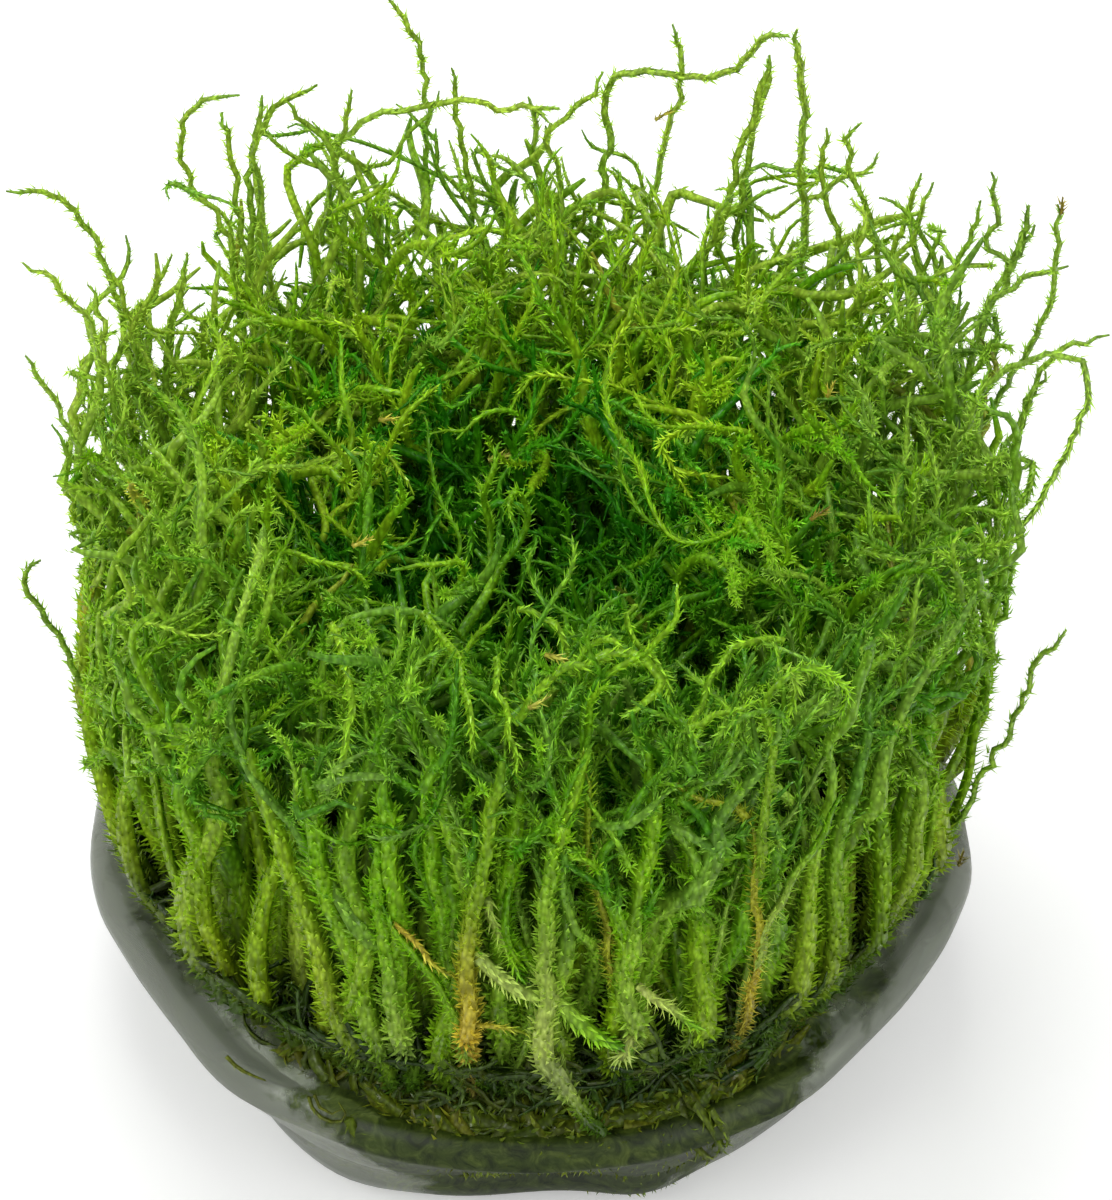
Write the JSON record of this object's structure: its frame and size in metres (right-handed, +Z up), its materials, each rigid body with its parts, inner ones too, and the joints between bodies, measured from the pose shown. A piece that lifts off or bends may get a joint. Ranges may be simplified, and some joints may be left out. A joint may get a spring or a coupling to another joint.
{
  "type": "tissue culture java moss",
  "caption": "Cushion of upright branching moss shoots round a lower hollow centre, rooted in a low round puck of clear nutrient gel with a flat underside.",
  "frame": {"origin": "middle of the gel puck's flat underside", "axes": "+Z up along the shoots; -Y towards the side that faces the viewer in the picture"},
  "size_m": [0.0737, 0.0669, 0.0652],
  "materials": {
    "gel": "clear grey jelly, wet and glossy",
    "outer_tuft": "leafy shoots, fresh green at the rim and paler or olive at the foot",
    "middle_tuft": "leafy shoots, green",
    "inner_tuft": "leafy shoots, deep green",
    "centre_tuft": "leafy shoots, darkest green in the hollow"
  },
  "bodies": {
    "root": {"gel_puck": "gel", "outer_tuft_01": "outer_tuft", "outer_tuft_02": "outer_tuft", "outer_tuft_03": "outer_tuft", "outer_tuft_04": "outer_tuft", "outer_tuft_05": "outer_tuft", "outer_tuft_06": "outer_tuft", "outer_tuft_07": "outer_tuft", "outer_tuft_08": "outer_tuft", "outer_tuft_09": "outer_tuft", "outer_tuft_10": "outer_tuft", "outer_tuft_11": "outer_tuft", "outer_tuft_12": "outer_tuft", "outer_tuft_13": "outer_tuft", "outer_tuft_14": "outer_tuft", "outer_tuft_15": "outer_tuft", "outer_tuft_16": "outer_tuft", "outer_tuft_17": "outer_tuft", "outer_tuft_18": "outer_tuft", "outer_tuft_19": "outer_tuft", "outer_tuft_20": "outer_tuft", "middle_tuft_01": "middle_tuft", "middle_tuft_02": "middle_tuft", "middle_tuft_03": "middle_tuft", "middle_tuft_04": "middle_tuft", "middle_tuft_05": "middle_tuft", "middle_tuft_06": "middle_tuft", "middle_tuft_07": "middle_tuft", "middle_tuft_08": "middle_tuft", "middle_tuft_09": "middle_tuft", "middle_tuft_10": "middle_tuft", "middle_tuft_11": "middle_tuft", "middle_tuft_12": "middle_tuft", "middle_tuft_13": "middle_tuft", "middle_tuft_14": "middle_tuft", "inner_tuft_01": "inner_tuft", "inner_tuft_02": "inner_tuft", "inner_tuft_03": "inner_tuft", "inner_tuft_04": "inner_tuft", "inner_tuft_05": "inner_tuft", "inner_tuft_06": "inner_tuft", "inner_tuft_07": "inner_tuft", "inner_tuft_08": "inner_tuft", "centre_tuft_01": "centre_tuft", "centre_tuft_02": "centre_tuft", "centre_tuft_03": "centre_tuft"}
  },
  "joints": []
}
